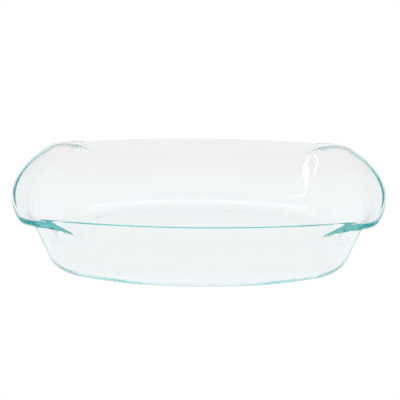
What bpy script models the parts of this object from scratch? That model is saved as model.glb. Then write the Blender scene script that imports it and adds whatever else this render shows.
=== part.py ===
"""Oblong glass baking dish, pressed in one piece.

Frame: metres, +Z up, origin under the middle of the foot ring, the long
side along X.  The dish is one moulding: floor, four walls with large
corners, a rounded rim along the two long sides and, at both ends, a wide
flat handle tab that runs round the corners and fades into the long sides
as a short ledge.

One quarter of the shell is a loft and the rest is mirrored from it.  Every
section of the loft is the same polygon of vertices with its corners
rounded by conic arcs, and the vertices follow plan outlines made of
tangent arcs.
"""

import math

import bpy

MM = 0.001

# ---- overall -------------------------------------------------------------
HEIGHT = 74.0 * MM          # rim and tabs above the table
RIM_R = 1.6 * MM            # half thickness of the round rim along the sides
TAB_R = 3.5 * MM            # half thickness of a handle tab at its edge
EDGE_ROUND = 2.1 * MM       # rounding of the tab's upper and lower edge
WALL_T = 4.8 * MM           # wall thickness at the bottom, measured level
FLOOR_T = 5.2 * MM          # top of the floor at its edge
FLOOR_DOME = 0.8 * MM       # how much the floor rises to its middle

# ---- plan outlines: half length, half width, side, end, corner radius -----
RIM_LINE = (169.6 * MM, 112.7 * MM, 750.8 * MM, 256.8 * MM, 42.8 * MM)
TAB_LINE = (181.7 * MM, 116.2 * MM, 700.0 * MM, 210.0 * MM, 20.0 * MM)
HEEL_LINE = (150.5 * MM, 100.1 * MM, 372.0 * MM, 190.0 * MM, 49.6 * MM)

# ---- handle tabs -----------------------------------------------------------
LEDGE_TOP_X = 140.0 * MM    # where the ledge leaves the tab
LEDGE_RUN = 16.5 * MM       # how far it runs before it sinks into the long side
LEDGE_DROP = 11.5 * MM      # how far below the tab it is by then
LEDGE_SWEEP = 2.0           # power law of its way down
LEDGE_THIN = 0.55           # share of its thickness lost on the way
LEDGE_FILLET = 2.0 * MM     # fillet between the ledge and the side
FLARE_X = (128.0 * MM, 146.0 * MM)    # where the rim widens into the tab's top
SHOULDER = 15.0 * MM        # roll-over from the end wall to the tab's top
UNDER_FILLET = 11.5 * MM    # fillet between the tab's underside and the wall
BEAD_AT = 0.73              # share of the overhang inside the bead at the edge
BEAD_BLEND = 0.8 * MM       # run-out of the bead on the tab's underside
TAB_ROOT_T = 5.2 * MM       # thickness of a wide tab where it leaves the wall
TAB_WIDE = (7.0 * MM, 14.0 * MM)      # overhang from which it thins to that

TAB_TOP_END = (1.6, 1.3)    # end of the flat top and start of its edge, in roundings
SKIN = 0.3 * MM             # spacing kept where the ledge has sunk into the side
CREASE = 0.3 * MM           # rounding of the vertices on a flat stretch

# ---- bottom ----------------------------------------------------------------
HEEL_SET = 15.0 * MM        # tangent length of the rounded outer heel
INNER_SET = 13.0 * MM       # tangent length of the rounded inner corner
RING_W = 9.0 * MM           # width of the flat foot ring
RING_STEP = 6.0 * MM        # width of the step up inside the ring
RING_INSIDE = 4.0 * MM      # flat stretch inside that step
RING_BLEND = 2.8 * MM       # rounding where the step starts and ends
RECESS = 0.4 * MM           # height of the underside inside the ring
UNDER_DOME = 0.5 * MM       # how much the underside rises to its middle

SHARE = 0.98                # share of a side that its two roundings may use

# ---- sampling --------------------------------------------------------------
SIDE_PART = 0.92            # plain share of the side, before the ledge
COLUMNS = (5, 4, 8, 5)      # sections on side, ledge, corner and end of a quarter
ARCS = (4, 6, 8, 2, 3, 3, 2, 5, 5, 1, 1)
LINES = (1, 3, 1, 1, 1, 1, 1, 1, 3, 1, 1, 1)
INWARD = (0.28, 0.62)       # rings between the middle of a flat and its edge


def smooth(x, lo, hi):
    """Soft step from 0 at lo to 1 at hi."""
    t = min(1.0, max(0.0, (x - lo) / (hi - lo)))
    return t * t * (3.0 - 2.0 * t)


def mix(a, b, t):
    return a + (b - a) * t


def blend(p, q, t):
    return tuple(mix(p[i], q[i], t) for i in range(3))


def length(p, q):
    return math.sqrt(sum((q[i] - p[i]) ** 2 for i in range(3)))


class Outline:
    """One quarter of an oblong: three arcs that meet without a kink."""

    def __init__(self, dims):
        half_x, half_y, side_r, end_r, corner_r = dims
        side_c = (0.0, half_y - side_r)
        end_c = (half_x - end_r, 0.0)
        r1 = side_r - corner_r
        r2 = end_r - corner_r
        dx = end_c[0] - side_c[0]
        dy = end_c[1] - side_c[1]
        d = math.hypot(dx, dy)
        k = (r1 * r1 - r2 * r2 + d * d) / (2.0 * d)
        h = math.sqrt(r1 * r1 - k * k)
        picks = []
        for s in (1.0, -1.0):
            cx = side_c[0] + (k * dx - s * h * dy) / d
            cy = side_c[1] + (k * dy + s * h * dx) / d
            picks.append((cx, cy))
        corner_c = max(picks, key=lambda c: c[0] + c[1])
        self.turn_in = math.atan2(corner_c[1] - side_c[1], corner_c[0] - side_c[0])
        self.turn_out = math.atan2(corner_c[1] - end_c[1], corner_c[0] - end_c[0])
        self.arcs = ((side_c, side_r), (corner_c, corner_r), (end_c, end_r))

    def at(self, angle):
        """Point whose outward normal has this angle; 90 degrees is mid side."""
        k = 2
        if angle > self.turn_out:
            k = 1
        if angle > self.turn_in:
            k = 0
        c, r = self.arcs[k]
        return (c[0] + r * math.cos(angle), c[1] + r * math.sin(angle))

    def reach(self, x, y, angle):
        """Distance from a point to the outline along a direction."""
        nx = math.cos(angle)
        ny = math.sin(angle)
        lo = 0.0
        hi = math.pi / 2.0
        for _ in range(48):
            mid = (lo + hi) / 2.0
            q = self.at(mid)
            if (q[0] - x) * ny - (q[1] - y) * nx > 0.0:
                lo = mid
            else:
                hi = mid
        q = self.at((lo + hi) / 2.0)
        return (q[0] - x) * nx + (q[1] - y) * ny


def angles(line, counts):
    """Normal angles of the sections of one quarter, side to end."""
    square = math.pi / 2.0
    ledge = mix(square, line.turn_in, SIDE_PART)
    stops = (square, ledge, line.turn_in, line.turn_out, 0.0)
    out = []
    for k in range(len(counts)):
        for i in range(counts[k]):
            out.append(mix(stops[k], stops[k + 1], i / counts[k]))
    out.append(0.0)
    return out


def section(rim, tab, heel, angle):
    """Polygon vertices of one section with the setback of each corner."""
    nx = math.cos(angle)
    ny = math.sin(angle)
    x, y = rim.at(angle)
    hx, hy = heel.at(angle)
    edge = tab.reach(x, y, angle) + TAB_R
    along = x + edge * nx
    fade = min(1.0, max(0.0, (LEDGE_TOP_X - along) / LEDGE_RUN))
    proud = 1.0 - fade * fade
    flat = smooth(along, FLARE_X[0], FLARE_X[1])
    thin = flat * smooth(edge, TAB_WIDE[0], TAB_WIDE[1])
    mid = HEIGHT - TAB_R - LEDGE_DROP * fade ** LEDGE_SWEEP
    half = TAB_R * (1.0 - LEDGE_THIN * fade)
    skin = SKIN * (1.0 - proud)
    top = mid + half
    bottom = mid - half
    root = mix(bottom, HEIGHT - TAB_ROOT_T, thin)
    soft = min(EDGE_ROUND, half) * proud + 0.3 * SKIN
    fillet = LEDGE_FILLET * proud + 0.3 * SKIN

    def out(s, z):
        return (x + s * nx, y + s * ny, z)

    def low(s, z):
        return (hx + s * nx, hy + s * ny, z)

    def wall(z, inset=0.0):
        p = blend(low(0.0, 0.0), out(RIM_R, HEIGHT - RIM_R), z / (HEIGHT - RIM_R))
        return (p[0] - inset * nx, p[1] - inset * ny, z)

    edge_top = blend(wall(top - skin), out(edge, top - skin), proud)
    edge_low = blend(wall(bottom + skin), out(edge, bottom + skin), proud)
    inner = root + 0.5 * skin
    under = blend(wall(inner), out(edge, inner), BEAD_AT * proud)
    top_end = out(mix(RIM_R, edge - TAB_TOP_END[0] * EDGE_ROUND, flat), HEIGHT)
    step = blend(wall(min(top, HEIGHT - RIM_R)), out(edge - TAB_TOP_END[1] * EDGE_ROUND, top), flat)
    rim_t = mix(2.0 * RIM_R, WALL_T, flat)
    ring = -HEEL_SET - RING_W
    verts = [
        (low(-WALL_T - INNER_SET, FLOOR_T), 0.0),
        (wall(FLOOR_T, WALL_T), INNER_SET),
        (wall(HEIGHT, rim_t), mix(RIM_R, SHOULDER, flat)),
        (top_end, mix(RIM_R, CREASE, flat)),
        (step, mix(fillet, CREASE, flat)),
        (edge_top, soft),
        (edge_low, soft),
        (under, mix(CREASE, BEAD_BLEND, thin)),
        (wall(root), mix(fillet, UNDER_FILLET, flat)),
        (low(0.0, 0.0), HEEL_SET),
        (low(ring, 0.0), RING_BLEND),
        (low(ring - RING_STEP, RECESS), RING_BLEND),
        (low(ring - RING_STEP - RING_INSIDE, RECESS), 0.0),
    ]
    return verts


def rounded(verts, arcs, lines):
    """Sample the polygon with every inner vertex rounded by a conic arc."""
    last = len(verts) - 1
    sides = [length(verts[i][0], verts[i + 1][0]) for i in range(last)]
    sets = [v[1] for v in verts]
    path = [verts[0][0]]
    for i in range(1, last):
        p = verts[i][0]
        back = SHARE * sides[i - 1] * sets[i] / (sets[i] + sets[i - 1])
        fore = SHARE * sides[i] * sets[i] / (sets[i] + sets[i + 1])
        cut = min(sets[i], back, fore)
        a = blend(p, verts[i - 1][0], cut / sides[i - 1])
        b = blend(p, verts[i + 1][0], cut / sides[i])
        cosine = sum((p[k] - a[k]) * (b[k] - p[k]) for k in range(3)) / (cut * cut)
        weight = math.sqrt(max(0.0, (1.0 + cosine) / 2.0))
        start = path[-1]
        for k in range(1, lines[i - 1]):
            path.append(blend(start, a, k / lines[i - 1]))
        for k in range(arcs[i - 1] + 1):
            q = k / arcs[i - 1]
            c0 = (1.0 - q) * (1.0 - q)
            c1 = 2.0 * q * (1.0 - q) * weight
            c2 = q * q
            total = c0 + c1 + c2
            path.append(tuple((c0 * a[m] + c1 * p[m] + c2 * b[m]) / total for m in range(3)))
    start = path[-1]
    for k in range(1, lines[last - 1] + 1):
        path.append(blend(start, verts[last][0], k / lines[last - 1]))
    return path


def quarter_sections(counts, arcs, lines):
    """Sections of one quarter, each from the floor out, over and under."""
    rim = Outline(RIM_LINE)
    tab = Outline(TAB_LINE)
    heel = Outline(HEEL_LINE)
    rows = []
    for angle in angles(rim, counts):
        rows.append(rounded(section(rim, tab, heel, angle), arcs, lines))
    rows[0] = [(0.0, p[1], p[2]) for p in rows[0]]
    rows[-1] = [(p[0], 0.0, p[2]) for p in rows[-1]]
    return rows


def inward_rows(row, end, middle_z):
    """Points from the middle of a flat out to an end of a section."""
    p = row[end]
    out = []
    for share in INWARD:
        out.append((p[0] * share, p[1] * share, mix(middle_z, p[2], share * share)))
    return out


def quarter_mesh(rows):
    """Loft between the sections of a quarter, open on the two mirror planes."""
    full = []
    for row in rows:
        inside = inward_rows(row, 0, FLOOR_T + FLOOR_DOME)
        under = inward_rows(row, -1, RECESS + UNDER_DOME)
        full.append(inside + row + list(reversed(under)))
    width = len(full[0])
    verts = [p for row in full for p in row]
    faces = []
    for i in range(len(full) - 1):
        for k in range(width - 1):
            a = i * width + k
            b = a + width
            faces.append((a, b, b + 1, a + 1))
    top = len(verts)
    verts.append((0.0, 0.0, FLOOR_T + FLOOR_DOME))
    verts.append((0.0, 0.0, RECESS + UNDER_DOME))
    for i in range(len(full) - 1):
        a = i * width
        b = a + width
        faces.append((top, b, a))
        faces.append((top + 1, a + width - 1, b + width - 1))
    return verts, faces


def clear_scene():
    for item in list(bpy.data.objects):
        bpy.data.objects.remove(item, do_unlink=True)
    for mesh in list(bpy.data.meshes):
        bpy.data.meshes.remove(mesh)


def own_collection(name):
    group = bpy.data.collections.new(name)
    bpy.context.scene.collection.children.link(group)
    return group


def glass(name):
    mat = bpy.data.materials.new(name)
    mat.use_nodes = True
    bsdf = mat.node_tree.nodes["Principled BSDF"]
    bsdf.inputs["Base Color"].default_value = (0.80, 0.93, 0.91, 1.0)
    bsdf.inputs["Roughness"].default_value = 0.05
    bsdf.inputs["Metallic"].default_value = 0.0
    bsdf.inputs["IOR"].default_value = 1.50
    bsdf.inputs["Transmission Weight"].default_value = 1.0
    return mat


def add_mirror(obj):
    mirror = obj.modifiers.new("quarter_to_whole", "MIRROR")
    mirror.use_axis = (True, True, False)
    mirror.use_mirror_merge = True
    mirror.merge_threshold = 0.00002


def build_dish(group):
    verts, faces = quarter_mesh(quarter_sections(COLUMNS, ARCS, LINES))
    mesh = bpy.data.meshes.new("glass_dish")
    mesh.from_pydata(verts, [], faces)
    mesh.validate()
    mesh.shade_smooth()
    mesh.set_sharp_from_angle(angle=math.radians(40.0))
    mesh.materials.append(glass("clear_glass"))
    dish = bpy.data.objects.new("glass_dish", mesh)
    group.objects.link(dish)
    add_mirror(dish)
    return dish


clear_scene()
build_dish(own_collection("oblong_glass_baking_dish"))
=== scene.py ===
"""Look of the oblong glass baking dish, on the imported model's frame."""
import math

import bpy
from mathutils import Matrix, Quaternion, Vector


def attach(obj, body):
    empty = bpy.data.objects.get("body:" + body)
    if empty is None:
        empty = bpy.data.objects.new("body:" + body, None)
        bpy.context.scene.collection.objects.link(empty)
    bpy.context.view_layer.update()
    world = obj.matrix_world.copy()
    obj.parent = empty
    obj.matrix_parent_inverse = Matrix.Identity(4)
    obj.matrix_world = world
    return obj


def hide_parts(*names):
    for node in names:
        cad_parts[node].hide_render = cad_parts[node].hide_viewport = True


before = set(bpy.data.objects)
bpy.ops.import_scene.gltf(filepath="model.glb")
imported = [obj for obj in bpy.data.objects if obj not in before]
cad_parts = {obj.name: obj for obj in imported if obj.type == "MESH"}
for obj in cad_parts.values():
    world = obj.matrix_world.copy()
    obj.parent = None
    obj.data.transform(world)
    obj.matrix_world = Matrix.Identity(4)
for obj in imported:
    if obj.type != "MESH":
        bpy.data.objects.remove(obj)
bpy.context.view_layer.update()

MM = 0.001

# ---- overall -------------------------------------------------------------
HEIGHT = 74.0 * MM          # rim and tabs above the table
RIM_R = 1.6 * MM            # half thickness of the round rim along the sides
TAB_R = 3.5 * MM            # half thickness of a handle tab at its edge
EDGE_ROUND = 2.1 * MM       # rounding of the tab's upper and lower edge
WALL_T = 4.8 * MM           # wall thickness at the bottom, measured level
FLOOR_T = 5.2 * MM          # top of the floor at its edge
FLOOR_DOME = 0.8 * MM       # how much the floor rises to its middle

# ---- plan outlines: half length, half width, side, end, corner radius -----
RIM_LINE = (169.6 * MM, 112.7 * MM, 750.8 * MM, 256.8 * MM, 42.8 * MM)
TAB_LINE = (181.7 * MM, 116.2 * MM, 700.0 * MM, 210.0 * MM, 20.0 * MM)
HEEL_LINE = (150.5 * MM, 100.1 * MM, 372.0 * MM, 190.0 * MM, 49.6 * MM)

# ---- handle tabs -----------------------------------------------------------
LEDGE_TOP_X = 140.0 * MM    # where the ledge leaves the tab
LEDGE_RUN = 16.5 * MM       # how far it runs before it sinks into the long side
LEDGE_DROP = 11.5 * MM      # how far below the tab it is by then
LEDGE_SWEEP = 2.0           # power law of its way down
LEDGE_THIN = 0.55           # share of its thickness lost on the way
LEDGE_FILLET = 2.0 * MM     # fillet between the ledge and the side
FLARE_X = (128.0 * MM, 146.0 * MM)    # where the rim widens into the tab's top
SHOULDER = 15.0 * MM        # roll-over from the end wall to the tab's top
UNDER_FILLET = 11.5 * MM    # fillet between the tab's underside and the wall
BEAD_AT = 0.73              # share of the overhang inside the bead at the edge
BEAD_BLEND = 0.8 * MM       # run-out of the bead on the tab's underside
TAB_ROOT_T = 5.2 * MM       # thickness of a wide tab where it leaves the wall
TAB_WIDE = (7.0 * MM, 14.0 * MM)      # overhang from which it thins to that

TAB_TOP_END = (1.6, 1.3)    # end of the flat top and start of its edge, in roundings
SKIN = 0.3 * MM             # spacing kept where the ledge has sunk into the side
LEAST = 0.3 * SKIN          # rounding that is left there
CREASE = 0.3 * MM           # rounding of the vertices on a flat stretch

# ---- bottom ----------------------------------------------------------------
HEEL_SET = 15.0 * MM        # tangent length of the rounded outer heel
INNER_SET = 13.0 * MM       # tangent length of the rounded inner corner
RING_W = 9.0 * MM           # width of the flat foot ring
RING_STEP = 6.0 * MM        # width of the step up inside the ring
RING_INSIDE = 4.0 * MM      # flat stretch inside that step
RING_BLEND = 2.8 * MM       # rounding where the step starts and ends
RECESS = 0.4 * MM           # height of the underside inside the ring
UNDER_DOME = 0.5 * MM       # how much the underside rises to its middle
FLOOR_MIDDLE = FLOOR_T + FLOOR_DOME
UNDER_MIDDLE = RECESS + UNDER_DOME

SHARE = 0.98                # share of a side that its two roundings may use
HALVINGS = 48               # of the range of angles, to find a point of an outline

# ---- fine sampling of the visible surface ----------------------------------
SIDE_PART = 0.92            # where the ledge's columns start, as a share of the side
COLUMNS = (20, 14, 34, 20)  # sections of a quarter: side, ledge, corner, end
ARCS = (14, 20, 8, 4, 10, 10, 6, 18, 16, 4, 4)    # steps of each rounding of a section
LINES = (1, 10, 3, 1, 2, 4, 2, 3, 10, 4, 2, 2)    # steps of each straight between them
INWARD = (0.12, 0.3, 0.5, 0.7, 0.87)              # loops that close the floor and underside

# ---- camera, fitted to the photo --------------------------------------------
CAM_DIST = 0.900            # from the point it looks at
CAM_UP = math.radians(23.2)
CAM_AIM_Z = 0.0711
CAM_YAW = math.radians(-0.32)
CAM_ROLL = math.radians(0.39)
SENSOR = 36.0               # width in mm
FOCAL_SHARE = 890.9 / 400.0           # focal length in widths of the picture
CENTRE_SHIFT = (0.00235, -0.0487)

# ---- studio -------------------------------------------------------------------
TENT_GLOW = 0.88            # what lights the dish from all round
OPENING_GLOW = 0.35         # the darker opening that the camera looks in by
OPENING_INNER = math.radians(8.0)     # fully dark as far as this from its middle
OPENING_OUTER = math.radians(16.0)    # and gone by here
SEEN_GLOW = 1.05            # floor and tent as the camera itself sees them
FLOOR_NEAR = (0.936, 0.949, 0.960, 1.0)
FLOOR_FAR = (0.901, 0.888, 0.892, 1.0)
FLOOR_FALL = (0.12, 0.25)   # distance behind the dish's middle from near to far
FLOOR_HALF = 6.0
FLOOR_DROP = 0.0002         # below the foot ring, so that the two never share a plane
BOUNCES = 200               # in the glass
SOFT_BOUNCES = 4            # off anything matt

# name, place, aim, size, watts, tilt about its own axis in degrees
SOFTBOXES = (
    ("overhead_softbox", (0.0, 0.2, 2.0), (0.0, 0.0, 0.0), (1.6, 0.5), 3.5, 0.0),
    ("strip_softbox", (-0.867, -1.556, 0.598), (0.122, 0.09, 0.04), (0.56, 0.050), 1.0, 4.9),
)

# ---- glass ----------------------------------------------------------------------
GLASS_IOR = 1.5
AQUA = (0.08, 0.80, 0.80, 1.0)        # colour and density of the absorption
AQUA_DENSITY = 4.0
HAZE_SCALE = 38.0
HAZE_DETAIL = 5.0
HAZE_RANGE = (0.35, 0.75)
HAZE_ROUGH = 0.035
SCUFF_FADE = (0.0003, 0.0006)         # height over which the scuffed foot turns glossy
SCUFF_ROUGH = 0.10
WAVE_SCALE = 22.0
WAVE_DETAIL = 2.0
WAVE_ROUGHNESS = 0.4
WAVE_STRENGTH = 0.1
WAVE_HEIGHT = 0.0006


def smooth(x, lo, hi):
    """Soft step from 0 at lo to 1 at hi."""
    t = min(1.0, max(0.0, (x - lo) / (hi - lo)))
    return t * t * (3.0 - 2.0 * t)


def mix(a, b, t):
    """From number a to number b."""
    return a + (b - a) * t


def blend(p, q, t):
    """From point p to point q."""
    return tuple(mix(p[i], q[i], t) for i in range(3))


def length(p, q):
    """Distance between two points."""
    return math.sqrt(sum((q[i] - p[i]) ** 2 for i in range(3)))


class Outline:
    """One quarter of an oblong: three arcs that meet without a kink."""

    def __init__(self, dims):
        half_x, half_y, side_r, end_r, corner_r = dims
        side_c = (0.0, half_y - side_r)
        end_c = (half_x - end_r, 0.0)
        r1 = side_r - corner_r
        r2 = end_r - corner_r
        dx = end_c[0] - side_c[0]
        dy = end_c[1] - side_c[1]
        d = math.hypot(dx, dy)
        k = (r1 * r1 - r2 * r2 + d * d) / (2.0 * d)
        h = math.sqrt(r1 * r1 - k * k)
        picks = []
        for s in (1.0, -1.0):
            cx = side_c[0] + (k * dx - s * h * dy) / d
            cy = side_c[1] + (k * dy + s * h * dx) / d
            picks.append((cx, cy))
        corner_c = max(picks, key=lambda c: c[0] + c[1])
        self.turn_in = math.atan2(corner_c[1] - side_c[1], corner_c[0] - side_c[0])
        self.turn_out = math.atan2(corner_c[1] - end_c[1], corner_c[0] - end_c[0])
        self.arcs = ((side_c, side_r), (corner_c, corner_r), (end_c, end_r))

    def at(self, angle):
        """Point whose outward normal has this angle; 90 degrees is mid side."""
        k = 2
        if angle > self.turn_out:
            k = 1
        if angle > self.turn_in:
            k = 0
        c, r = self.arcs[k]
        return (c[0] + r * math.cos(angle), c[1] + r * math.sin(angle))

    def reach(self, x, y, angle):
        """Distance from a point to the outline along a direction."""
        nx = math.cos(angle)
        ny = math.sin(angle)
        lo = 0.0
        hi = math.pi / 2.0
        for _ in range(HALVINGS):
            mid = (lo + hi) / 2.0
            q = self.at(mid)
            if (q[0] - x) * ny - (q[1] - y) * nx > 0.0:
                lo = mid
            else:
                hi = mid
        q = self.at((lo + hi) / 2.0)
        return (q[0] - x) * nx + (q[1] - y) * ny


def angles(line, counts):
    """Normal angles of the sections of one quarter, side to end."""
    square = math.pi / 2.0
    ledge = mix(square, line.turn_in, SIDE_PART)
    stops = (square, ledge, line.turn_in, line.turn_out, 0.0)
    out = []
    for k in range(len(counts)):
        for i in range(counts[k]):
            out.append(mix(stops[k], stops[k + 1], i / counts[k]))
    out.append(0.0)
    return out


def section(rim, tab, heel, angle):
    """Polygon vertices of one section with the setback of each corner."""
    nx = math.cos(angle)
    ny = math.sin(angle)
    x, y = rim.at(angle)
    hx, hy = heel.at(angle)
    edge = tab.reach(x, y, angle) + TAB_R
    along = x + edge * nx
    fade = min(1.0, max(0.0, (LEDGE_TOP_X - along) / LEDGE_RUN))
    proud = 1.0 - fade * fade
    flat = smooth(along, FLARE_X[0], FLARE_X[1])
    thin = flat * smooth(edge, TAB_WIDE[0], TAB_WIDE[1])
    mid = HEIGHT - TAB_R - LEDGE_DROP * fade ** LEDGE_SWEEP
    half = TAB_R * (1.0 - LEDGE_THIN * fade)
    skin = SKIN * (1.0 - proud)
    top = mid + half
    bottom = mid - half
    root = mix(bottom, HEIGHT - TAB_ROOT_T, thin)
    soft = min(EDGE_ROUND, half) * proud + LEAST
    fillet = LEDGE_FILLET * proud + LEAST

    def out(s, z):
        return (x + s * nx, y + s * ny, z)

    def low(s, z):
        return (hx + s * nx, hy + s * ny, z)

    def wall(z, inset=0.0):
        p = blend(low(0.0, 0.0), out(RIM_R, HEIGHT - RIM_R), z / (HEIGHT - RIM_R))
        return (p[0] - inset * nx, p[1] - inset * ny, z)

    edge_top = blend(wall(top - skin), out(edge, top - skin), proud)
    edge_low = blend(wall(bottom + skin), out(edge, bottom + skin), proud)
    inner = root + 0.5 * skin
    under = blend(wall(inner), out(edge, inner), BEAD_AT * proud)
    top_end = out(mix(RIM_R, edge - TAB_TOP_END[0] * EDGE_ROUND, flat), HEIGHT)
    tab_end = out(edge - TAB_TOP_END[1] * EDGE_ROUND, top)
    step = blend(wall(min(top, HEIGHT - RIM_R)), tab_end, flat)
    rim_t = mix(2.0 * RIM_R, WALL_T, flat)
    ring = -HEEL_SET - RING_W
    return [
        (low(-WALL_T - INNER_SET, FLOOR_T), 0.0),
        (wall(FLOOR_T, WALL_T), INNER_SET),
        (wall(HEIGHT, rim_t), mix(RIM_R, SHOULDER, flat)),
        (top_end, mix(RIM_R, CREASE, flat)),
        (step, mix(fillet, CREASE, flat)),
        (edge_top, soft),
        (edge_low, soft),
        (under, mix(CREASE, BEAD_BLEND, thin)),
        (wall(root), mix(fillet, UNDER_FILLET, flat)),
        (low(0.0, 0.0), HEEL_SET),
        (low(ring, 0.0), RING_BLEND),
        (low(ring - RING_STEP, RECESS), RING_BLEND),
        (low(ring - RING_STEP - RING_INSIDE, RECESS), 0.0),
    ]


def rounded(verts, arcs, lines):
    """Sample the polygon with every inner vertex rounded by a conic arc."""
    last = len(verts) - 1
    sides = [length(verts[i][0], verts[i + 1][0]) for i in range(last)]
    sets = [v[1] for v in verts]
    path = [verts[0][0]]
    for i in range(1, last):
        p = verts[i][0]
        back = SHARE * sides[i - 1] * sets[i] / (sets[i] + sets[i - 1])
        fore = SHARE * sides[i] * sets[i] / (sets[i] + sets[i + 1])
        cut = min(sets[i], back, fore)
        a = blend(p, verts[i - 1][0], cut / sides[i - 1])
        b = blend(p, verts[i + 1][0], cut / sides[i])
        cosine = sum((p[k] - a[k]) * (b[k] - p[k]) for k in range(3)) / (cut * cut)
        weight = math.sqrt(max(0.0, (1.0 + cosine) / 2.0))
        start = path[-1]
        for k in range(1, lines[i - 1]):
            path.append(blend(start, a, k / lines[i - 1]))
        for k in range(arcs[i - 1] + 1):
            q = k / arcs[i - 1]
            c0 = (1.0 - q) * (1.0 - q)
            c1 = 2.0 * q * (1.0 - q) * weight
            c2 = q * q
            total = c0 + c1 + c2
            path.append(tuple((c0 * a[m] + c1 * p[m] + c2 * b[m]) / total for m in range(3)))
    start = path[-1]
    for k in range(1, lines[last - 1] + 1):
        path.append(blend(start, verts[last][0], k / lines[last - 1]))
    return path


def closing(row, share, middle):
    """A loop shrunk to a share of its size, on the dome that closes it at its middle."""
    return [(p[0] * share, p[1] * share, mix(middle, p[2], share * share)) for p in row]


def dish_loops():
    """Closed loops round the dish, from the floor's middle out and under."""
    rim = Outline(RIM_LINE)
    tab = Outline(TAB_LINE)
    heel = Outline(HEEL_LINE)
    quarter = []
    for angle in angles(rim, COLUMNS):
        quarter.append(rounded(section(rim, tab, heel, angle), ARCS, LINES))
    quarter[0] = [(0.0, p[1], p[2]) for p in quarter[0]]
    quarter[-1] = [(p[0], 0.0, p[2]) for p in quarter[-1]]
    half = list(quarter)
    for row in reversed(quarter[:-1]):
        half.append([(p[0], -p[1], p[2]) for p in row])
    ring = list(half)
    for row in reversed(half[1:-1]):
        ring.append([(-p[0], p[1], p[2]) for p in row])
    rows = [[r[k] for r in ring] for k in range(len(ring[0]))]
    floor_rows = [closing(rows[0], share, FLOOR_MIDDLE) for share in INWARD]
    under_rows = [closing(rows[-1], share, UNDER_MIDDLE) for share in reversed(INWARD)]
    return floor_rows + rows + under_rows


def dish_mesh():
    """The loops joined by quads, and closed by a fan above and one below."""
    loops = dish_loops()
    count = len(loops[0])
    verts = [p for loop in loops for p in loop]
    faces = []
    for k in range(len(loops) - 1):
        for i in range(count):
            j = (i + 1) % count
            a = k * count
            b = a + count
            faces.append((a + i, a + j, b + j, b + i))
    top = len(verts)
    verts.append((0.0, 0.0, FLOOR_MIDDLE))
    verts.append((0.0, 0.0, UNDER_MIDDLE))
    last = (len(loops) - 1) * count
    for i in range(count):
        j = (i + 1) % count
        faces.append((top, j, i))
        faces.append((top + 1, last + i, last + j))
    mesh = bpy.data.meshes.new("dish_glass_body")
    mesh.from_pydata(verts, [], faces)
    mesh.validate()
    mesh.shade_smooth()
    mesh.update()
    return mesh


# ---- materials ---------------------------------------------------------------
def node(tree, kind, place, **values):
    """A new node at a place in the editor, with its properties set."""
    n = tree.nodes.new(kind)
    n.location = place
    for key, value in values.items():
        setattr(n, key, value)
    return n


def noise(tree, place, vector, **inputs):
    """Noise over a vector, with its sockets set by name."""
    n = node(tree, "ShaderNodeTexNoise", place)
    for key, value in inputs.items():
        n.inputs[key].default_value = value
    tree.links.new(vector, n.inputs["Vector"])
    return n.outputs["Fac"]


def ramp(tree, place, value, start, end, kind="LINEAR"):
    """Take the range of start to the range of end."""
    n = node(tree, "ShaderNodeMapRange", place, interpolation_type=kind)
    for key, number in zip(("From Min", "From Max", "To Min", "To Max"), start + end):
        n.inputs[key].default_value = number
    tree.links.new(value, n.inputs["Value"])
    return n.outputs["Result"]


def seen_apart(tree, lit, seen, out):
    """One shader for the camera's own rays, and another for all other rays."""
    path = node(tree, "ShaderNodeLightPath", (0, 400))
    pick = node(tree, "ShaderNodeMixShader", (300, 0))
    tree.links.new(path.outputs["Is Camera Ray"], pick.inputs["Fac"])
    tree.links.new(lit.outputs[0], pick.inputs[1])
    tree.links.new(seen.outputs[0], pick.inputs[2])
    tree.links.new(pick.outputs[0], out.inputs["Surface"])


def glass_material():
    """Clear pressed glass: aqua in depth, faint mould waviness, scuffed foot."""
    mat = bpy.data.materials.new("clear_pressed_glass")
    mat.use_nodes = True
    tree = mat.node_tree
    bsdf = tree.nodes["Principled BSDF"]
    output = tree.nodes["Material Output"]
    bsdf.inputs["Base Color"].default_value = (1.0, 1.0, 1.0, 1.0)
    bsdf.inputs["Metallic"].default_value = 0.0
    bsdf.inputs["IOR"].default_value = GLASS_IOR
    bsdf.inputs["Transmission Weight"].default_value = 1.0

    place = node(tree, "ShaderNodeNewGeometry", (-1300, 0)).outputs["Position"]
    haze = noise(tree, (-1050, 200), place, Scale=HAZE_SCALE, Detail=HAZE_DETAIL)
    gloss = ramp(tree, (-800, 200), haze, HAZE_RANGE, (0.0, HAZE_ROUGH))
    height = node(tree, "ShaderNodeSeparateXYZ", (-1050, -50))
    tree.links.new(place, height.inputs["Vector"])
    scuff = ramp(tree, (-800, -50), height.outputs["Z"], SCUFF_FADE, (SCUFF_ROUGH, 0.0))
    rough = node(tree, "ShaderNodeMath", (-560, 120), operation="ADD")
    tree.links.new(gloss, rough.inputs[0])
    tree.links.new(scuff, rough.inputs[1])
    tree.links.new(rough.outputs[0], bsdf.inputs["Roughness"])

    wave = noise(tree, (-1050, -300), place, Scale=WAVE_SCALE, Detail=WAVE_DETAIL,
                 Roughness=WAVE_ROUGHNESS)
    bump = node(tree, "ShaderNodeBump", (-560, -300))
    bump.inputs["Strength"].default_value = WAVE_STRENGTH
    bump.inputs["Distance"].default_value = WAVE_HEIGHT
    tree.links.new(wave, bump.inputs["Height"])
    tree.links.new(bump.outputs["Normal"], bsdf.inputs["Normal"])

    volume = node(tree, "ShaderNodeVolumeAbsorption", (0, -400))
    volume.inputs["Color"].default_value = AQUA
    volume.inputs["Density"].default_value = AQUA_DENSITY
    tree.links.new(volume.outputs["Volume"], output.inputs["Volume"])
    return mat


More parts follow.
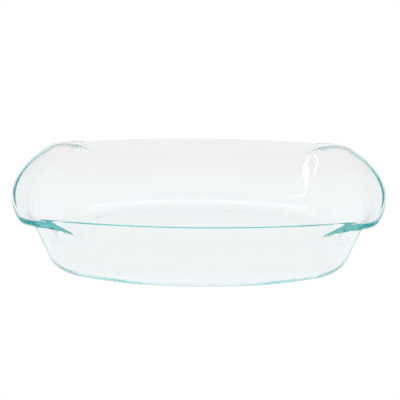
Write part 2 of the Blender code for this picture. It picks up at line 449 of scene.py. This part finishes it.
def floor_material():
    """White studio floor that glows, so that nothing casts a shadow on it.

    The camera sees one even white. What lights the dish turns slightly darker
    and warmer behind it, as the far part of a studio floor does.
    """
    mat = bpy.data.materials.new("studio_floor")
    mat.use_nodes = True
    tree = mat.node_tree
    tree.nodes.clear()
    out = node(tree, "ShaderNodeOutputMaterial", (600, 0))
    seen = node(tree, "ShaderNodeEmission", (0, 100))
    seen.inputs["Strength"].default_value = SEEN_GLOW
    glow = node(tree, "ShaderNodeEmission", (0, -100))
    shade = node(tree, "ShaderNodeMixRGB", (-200, -100))
    shade.inputs["Color1"].default_value = FLOOR_NEAR
    shade.inputs["Color2"].default_value = FLOOR_FAR
    place = node(tree, "ShaderNodeNewGeometry", (-900, -100))
    split = node(tree, "ShaderNodeSeparateXYZ", (-650, -100))
    tree.links.new(place.outputs["Position"], split.inputs["Vector"])
    fall = ramp(tree, (-400, -100), split.outputs["Y"], FLOOR_FALL, (0.0, 1.0), "SMOOTHSTEP")
    tree.links.new(fall, shade.inputs["Fac"])
    tree.links.new(shade.outputs["Color"], glow.inputs["Color"])
    seen_apart(tree, glow, seen, out)
    return mat


# ---- the dish ------------------------------------------------------------------
dish = bpy.data.objects.new("dish_glass_body", dish_mesh())
bpy.context.scene.collection.objects.link(dish)
dish.data.materials.append(glass_material())
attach(dish, "root")
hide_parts("glass_dish")


# ---- floor ---------------------------------------------------------------------
floor_mesh = bpy.data.meshes.new("floor")
corners = ((-1, -1), (1, -1), (1, 1), (-1, 1))
floor_mesh.from_pydata([(FLOOR_HALF * x, FLOOR_HALF * y, 0.0) for x, y in corners], [], [(0, 1, 2, 3)])
floor = bpy.data.objects.new("floor", floor_mesh)
floor.location.z = -FLOOR_DROP
floor_mesh.materials.append(floor_material())
bpy.context.scene.collection.objects.link(floor)


# ---- light -----------------------------------------------------------------------
def studio_world():
    """An even white tent with the dark opening that the camera looks in by."""
    world = bpy.data.worlds.new("studio")
    bpy.context.scene.world = world
    world.use_nodes = True
    tree = world.node_tree
    tree.nodes.clear()
    out = node(tree, "ShaderNodeOutputWorld", (600, 0))
    coord = node(tree, "ShaderNodeTexCoord", (-900, 0))
    facing = node(tree, "ShaderNodeVectorMath", (-650, 0), operation="DOT_PRODUCT")
    facing.inputs[1].default_value = (0.0, -math.cos(CAM_UP), math.sin(CAM_UP))
    tree.links.new(coord.outputs["Generated"], facing.inputs[0])
    edge = (math.cos(OPENING_OUTER), math.cos(OPENING_INNER))
    glow = ramp(tree, (-400, 0), facing.outputs["Value"], edge, (TENT_GLOW, OPENING_GLOW), "SMOOTHSTEP")
    dome = node(tree, "ShaderNodeBackground", (0, 100))
    tree.links.new(glow, dome.inputs["Strength"])
    back = node(tree, "ShaderNodeBackground", (0, -100))
    back.inputs["Strength"].default_value = SEEN_GLOW
    seen_apart(tree, dome, back, out)


def area_light(name, place, aim, size, watts, tilt):
    """A rectangular light that faces a point, turned about its own axis."""
    data = bpy.data.lights.new(name, "AREA")
    data.shape = "RECTANGLE"
    data.size, data.size_y = size
    data.energy = watts
    lamp = bpy.data.objects.new(name, data)
    lamp.location = place
    toward = Vector(aim) - Vector(place)
    turn = toward.to_track_quat("-Z", "Y") @ Quaternion((0.0, 0.0, 1.0), math.radians(tilt))
    lamp.rotation_euler = turn.to_euler()
    bpy.context.scene.collection.objects.link(lamp)


def light_paths():
    """Enough bounces for light that is guided far inside the thick edges."""
    cycles = bpy.context.scene.cycles
    cycles.max_bounces = BOUNCES
    cycles.transmission_bounces = BOUNCES
    cycles.glossy_bounces = BOUNCES
    cycles.diffuse_bounces = SOFT_BOUNCES


studio_world()
light_paths()
for softbox in SOFTBOXES:
    area_light(*softbox)


# ---- camera ------------------------------------------------------------------------
def studio_camera():
    """The photo's camera: a low view of the long side, with a slight roll."""
    data = bpy.data.cameras.new("camera")
    data.sensor_width = SENSOR
    data.lens = SENSOR * FOCAL_SHARE
    data.shift_x, data.shift_y = CENTRE_SHIFT
    cam = bpy.data.objects.new("camera", data)
    target = Vector((0.0, 0.0, CAM_AIM_Z))
    reach = CAM_DIST * math.cos(CAM_UP)
    lift = CAM_DIST * math.sin(CAM_UP)
    place = target + Vector((-reach * math.sin(CAM_YAW), -reach * math.cos(CAM_YAW), lift))
    ahead = (target - place).normalized()
    level = ahead.cross(Vector((0.0, 0.0, 1.0))).normalized()
    upright = level.cross(ahead)
    right = level * math.cos(CAM_ROLL) + upright * math.sin(CAM_ROLL)
    up = upright * math.cos(CAM_ROLL) - level * math.sin(CAM_ROLL)
    turn = Matrix((right, up, -ahead)).transposed()
    cam.matrix_world = Matrix.Translation(place) @ turn.to_4x4()
    bpy.context.scene.collection.objects.link(cam)
    bpy.context.scene.camera = cam


studio_camera()
bpy.context.scene.view_settings.view_transform = "Standard"
